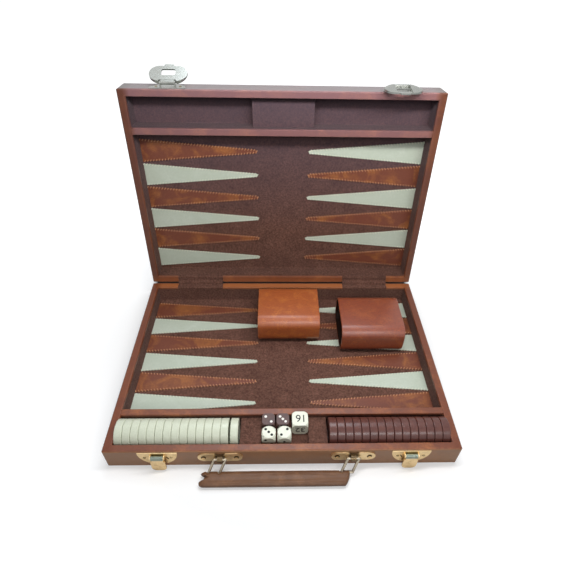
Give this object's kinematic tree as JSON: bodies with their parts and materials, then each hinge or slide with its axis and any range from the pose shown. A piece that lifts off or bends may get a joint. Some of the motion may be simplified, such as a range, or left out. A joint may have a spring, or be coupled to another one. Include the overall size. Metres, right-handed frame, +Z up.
{
  "type": "backgammon set in attache case",
  "caption": "Folding attache case with a backgammon board inside, two dice cups, dice, doubling cube and checkers in its trough, with hinged lid, hasps, catches and a carrying handle.",
  "frame": {"origin": "centre of the underside of the base half, which lies on the table", "axes": "+X to the right along the hinge line, +Y from the handle towards the hinges, +Z up out of the open base"},
  "size_m": [0.381, 0.3567, 0.3137],
  "materials": {
    "wood": "bare poplar board",
    "case_vinyl": "mottled vinyl",
    "felt": "felt",
    "brown_points": "sewn vinyl",
    "light_points": "sewn vinyl",
    "plated_steel": "plated",
    "brass_plate": "bright brass plate",
    "nickel_plate": "nickel plate",
    "cup_leather": "mottled vinyl",
    "ivory_plastic": "glossy",
    "brown_plastic": "glossy"
  },
  "bodies": {
    "base": {"base_box": "wood", "base_covering": "case_vinyl", "base_lining": "felt", "dice_tray": "felt", "base_brown_points": "brown_points", "base_light_points": "light_points", "base_hinge_leaves": "plated_steel", "catch_plates": "brass_plate", "handle_brackets": "brass_plate"},
    "lid": {"lid_box": "wood", "lid_covering": "case_vinyl", "lid_lining": "felt", "lid_tray_block": "felt", "lid_brown_points": "brown_points", "lid_light_points": "light_points", "lid_hinge_leaves": "plated_steel", "hasp_plates": "nickel_plate"},
    "left_hasp_body": {"left_hasp": "nickel_plate"},
    "right_hasp_body": {"right_hasp": "nickel_plate"},
    "left_catch_body": {"left_catch": "brass_plate"},
    "right_catch_body": {"right_catch": "brass_plate"},
    "handle_rings_body": {"handle_rings": "nickel_plate"},
    "handle_grip_body": {"handle_grip": "case_vinyl"},
    "left_dice_cup_body": {"left_dice_cup": "cup_leather"},
    "right_dice_cup_body": {"right_dice_cup": "cup_leather"},
    "doubling_cube_body": {"doubling_cube": "ivory_plastic"},
    "left_brown_die_body": {"left_brown_die": "brown_plastic"},
    "right_brown_die_body": {"right_brown_die": "brown_plastic"},
    "left_ivory_die_body": {"left_ivory_die": "ivory_plastic"},
    "right_ivory_die_body": {"right_ivory_die": "ivory_plastic"},
    "white_checker_01_body": {"white_checker_01": "ivory_plastic"},
    "white_checker_02_body": {"white_checker_02": "ivory_plastic"},
    "white_checker_03_body": {"white_checker_03": "ivory_plastic"},
    "white_checker_04_body": {"white_checker_04": "ivory_plastic"},
    "white_checker_05_body": {"white_checker_05": "ivory_plastic"},
    "white_checker_06_body": {"white_checker_06": "ivory_plastic"},
    "white_checker_07_body": {"white_checker_07": "ivory_plastic"},
    "white_checker_08_body": {"white_checker_08": "ivory_plastic"},
    "white_checker_09_body": {"white_checker_09": "ivory_plastic"},
    "white_checker_10_body": {"white_checker_10": "ivory_plastic"},
    "white_checker_11_body": {"white_checker_11": "ivory_plastic"},
    "white_checker_12_body": {"white_checker_12": "ivory_plastic"},
    "white_checker_13_body": {"white_checker_13": "ivory_plastic"},
    "white_checker_14_body": {"white_checker_14": "ivory_plastic"},
    "white_checker_15_body": {"white_checker_15": "ivory_plastic"},
    "brown_checker_01_body": {"brown_checker_01": "brown_plastic"},
    "brown_checker_02_body": {"brown_checker_02": "brown_plastic"},
    "brown_checker_03_body": {"brown_checker_03": "brown_plastic"},
    "brown_checker_04_body": {"brown_checker_04": "brown_plastic"},
    "brown_checker_05_body": {"brown_checker_05": "brown_plastic"},
    "brown_checker_06_body": {"brown_checker_06": "brown_plastic"},
    "brown_checker_07_body": {"brown_checker_07": "brown_plastic"},
    "brown_checker_08_body": {"brown_checker_08": "brown_plastic"},
    "brown_checker_09_body": {"brown_checker_09": "brown_plastic"},
    "brown_checker_10_body": {"brown_checker_10": "brown_plastic"},
    "brown_checker_11_body": {"brown_checker_11": "brown_plastic"},
    "brown_checker_12_body": {"brown_checker_12": "brown_plastic"},
    "brown_checker_13_body": {"brown_checker_13": "brown_plastic"},
    "brown_checker_14_body": {"brown_checker_14": "brown_plastic"},
    "brown_checker_15_body": {"brown_checker_15": "brown_plastic"}
  },
  "joints": [
    {"name": "lid_hinge", "type": "hinge", "parent": "base", "child": "lid", "pos_m": [0, 0.1337, 0.031], "axis": [-1, 0, 0], "range_deg": [-96.27, 83.73]},
    {"name": "left_hasp_turn", "type": "hinge", "parent": "lid", "child": "left_hasp_body", "pos_m": [-0.133, 0.1719, 0.30084], "axis": [-1, 0, 0], "range_deg": [-154, 16]},
    {"name": "right_hasp_turn", "type": "hinge", "parent": "lid", "child": "right_hasp_body", "pos_m": [0.136, 0.1719, 0.30084], "axis": [-1, 0, 0], "range_deg": [0, 170]},
    {"name": "left_catch_turn", "type": "hinge", "parent": "base", "child": "left_catch_body", "pos_m": [-0.133, -0.1369, 0.024], "axis": [-1, 0, 0], "range_deg": [0, 115], "stiffness_Nm_per_rad": 0.01, "springref_deg": -22.92},
    {"name": "right_catch_turn", "type": "hinge", "parent": "base", "child": "right_catch_body", "pos_m": [0.136, -0.1369, 0.024], "axis": [-1, 0, 0], "range_deg": [0, 115], "stiffness_Nm_per_rad": 0.01, "springref_deg": -22.92},
    {"name": "handle_ring_turn", "type": "hinge", "parent": "base", "child": "handle_rings_body", "pos_m": [0.0034, -0.1371, 0.02], "axis": [-1, 0, 0], "range_deg": [0, 105]},
    {"name": "grip_turn", "type": "hinge", "parent": "handle_rings_body", "child": "handle_grip_body", "pos_m": [-0.0032, -0.1453, 0.006], "axis": [-1, 0, 0], "range_deg": [0, 60]},
    {"name": "left_dice_cup_lift", "type": "slide", "parent": "base", "child": "left_dice_cup_body", "axis": [0, 0, 1], "range_m": [0, 0.06]},
    {"name": "right_dice_cup_lift", "type": "slide", "parent": "base", "child": "right_dice_cup_body", "axis": [0, 0, 1], "range_m": [0, 0.06]},
    {"name": "doubling_cube_lift", "type": "slide", "parent": "base", "child": "doubling_cube_body", "axis": [0, 0, 1], "range_m": [0, 0.03]},
    {"name": "left_brown_die_lift", "type": "slide", "parent": "base", "child": "left_brown_die_body", "axis": [0, 0, 1], "range_m": [0, 0.03]},
    {"name": "right_brown_die_lift", "type": "slide", "parent": "base", "child": "right_brown_die_body", "axis": [0, 0, 1], "range_m": [0, 0.03]},
    {"name": "left_ivory_die_lift", "type": "slide", "parent": "base", "child": "left_ivory_die_body", "axis": [0, 0, 1], "range_m": [0, 0.03]},
    {"name": "right_ivory_die_lift", "type": "slide", "parent": "base", "child": "right_ivory_die_body", "axis": [0, 0, 1], "range_m": [0, 0.03]},
    {"name": "white_checker_01_lift", "type": "slide", "parent": "base", "child": "white_checker_01_body", "axis": [0, 0, 1], "range_m": [0, 0.045]},
    {"name": "white_checker_02_lift", "type": "slide", "parent": "base", "child": "white_checker_02_body", "axis": [0, 0, 1], "range_m": [0, 0.045]},
    {"name": "white_checker_03_lift", "type": "slide", "parent": "base", "child": "white_checker_03_body", "axis": [0, 0, 1], "range_m": [0, 0.045]},
    {"name": "white_checker_04_lift", "type": "slide", "parent": "base", "child": "white_checker_04_body", "axis": [0, 0, 1], "range_m": [0, 0.045]},
    {"name": "white_checker_05_lift", "type": "slide", "parent": "base", "child": "white_checker_05_body", "axis": [0, 0, 1], "range_m": [0, 0.045]},
    {"name": "white_checker_06_lift", "type": "slide", "parent": "base", "child": "white_checker_06_body", "axis": [0, 0, 1], "range_m": [0, 0.045]},
    {"name": "white_checker_07_lift", "type": "slide", "parent": "base", "child": "white_checker_07_body", "axis": [0, 0, 1], "range_m": [0, 0.045]},
    {"name": "white_checker_08_lift", "type": "slide", "parent": "base", "child": "white_checker_08_body", "axis": [0, 0, 1], "range_m": [0, 0.045]},
    {"name": "white_checker_09_lift", "type": "slide", "parent": "base", "child": "white_checker_09_body", "axis": [0, 0, 1], "range_m": [0, 0.045]},
    {"name": "white_checker_10_lift", "type": "slide", "parent": "base", "child": "white_checker_10_body", "axis": [0, 0, 1], "range_m": [0, 0.045]},
    {"name": "white_checker_11_lift", "type": "slide", "parent": "base", "child": "white_checker_11_body", "axis": [0, 0, 1], "range_m": [0, 0.045]},
    {"name": "white_checker_12_lift", "type": "slide", "parent": "base", "child": "white_checker_12_body", "axis": [0, 0, 1], "range_m": [0, 0.045]},
    {"name": "white_checker_13_lift", "type": "slide", "parent": "base", "child": "white_checker_13_body", "axis": [0, 0, 1], "range_m": [0, 0.045]},
    {"name": "white_checker_14_lift", "type": "slide", "parent": "base", "child": "white_checker_14_body", "axis": [0, 0, 1], "range_m": [0, 0.045]},
    {"name": "white_checker_15_lift", "type": "slide", "parent": "base", "child": "white_checker_15_body", "axis": [0, 0, 1], "range_m": [0, 0.045]},
    {"name": "brown_checker_01_lift", "type": "slide", "parent": "base", "child": "brown_checker_01_body", "axis": [0, 0, 1], "range_m": [0, 0.045]},
    {"name": "brown_checker_02_lift", "type": "slide", "parent": "base", "child": "brown_checker_02_body", "axis": [0, 0, 1], "range_m": [0, 0.045]},
    {"name": "brown_checker_03_lift", "type": "slide", "parent": "base", "child": "brown_checker_03_body", "axis": [0, 0, 1], "range_m": [0, 0.045]},
    {"name": "brown_checker_04_lift", "type": "slide", "parent": "base", "child": "brown_checker_04_body", "axis": [0, 0, 1], "range_m": [0, 0.045]},
    {"name": "brown_checker_05_lift", "type": "slide", "parent": "base", "child": "brown_checker_05_body", "axis": [0, 0, 1], "range_m": [0, 0.045]},
    {"name": "brown_checker_06_lift", "type": "slide", "parent": "base", "child": "brown_checker_06_body", "axis": [0, 0, 1], "range_m": [0, 0.045]},
    {"name": "brown_checker_07_lift", "type": "slide", "parent": "base", "child": "brown_checker_07_body", "axis": [0, 0, 1], "range_m": [0, 0.045]},
    {"name": "brown_checker_08_lift", "type": "slide", "parent": "base", "child": "brown_checker_08_body", "axis": [0, 0, 1], "range_m": [0, 0.045]},
    {"name": "brown_checker_09_lift", "type": "slide", "parent": "base", "child": "brown_checker_09_body", "axis": [0, 0, 1], "range_m": [0, 0.045]},
    {"name": "brown_checker_10_lift", "type": "slide", "parent": "base", "child": "brown_checker_10_body", "axis": [0, 0, 1], "range_m": [0, 0.045]},
    {"name": "brown_checker_11_lift", "type": "slide", "parent": "base", "child": "brown_checker_11_body", "axis": [0, 0, 1], "range_m": [0, 0.045]},
    {"name": "brown_checker_12_lift", "type": "slide", "parent": "base", "child": "brown_checker_12_body", "axis": [0, 0, 1], "range_m": [0, 0.045]},
    {"name": "brown_checker_13_lift", "type": "slide", "parent": "base", "child": "brown_checker_13_body", "axis": [0, 0, 1], "range_m": [0, 0.045]},
    {"name": "brown_checker_14_lift", "type": "slide", "parent": "base", "child": "brown_checker_14_body", "axis": [0, 0, 1], "range_m": [0, 0.045]},
    {"name": "brown_checker_15_lift", "type": "slide", "parent": "base", "child": "brown_checker_15_body", "axis": [0, 0, 1], "range_m": [0, 0.045]}
  ]
}
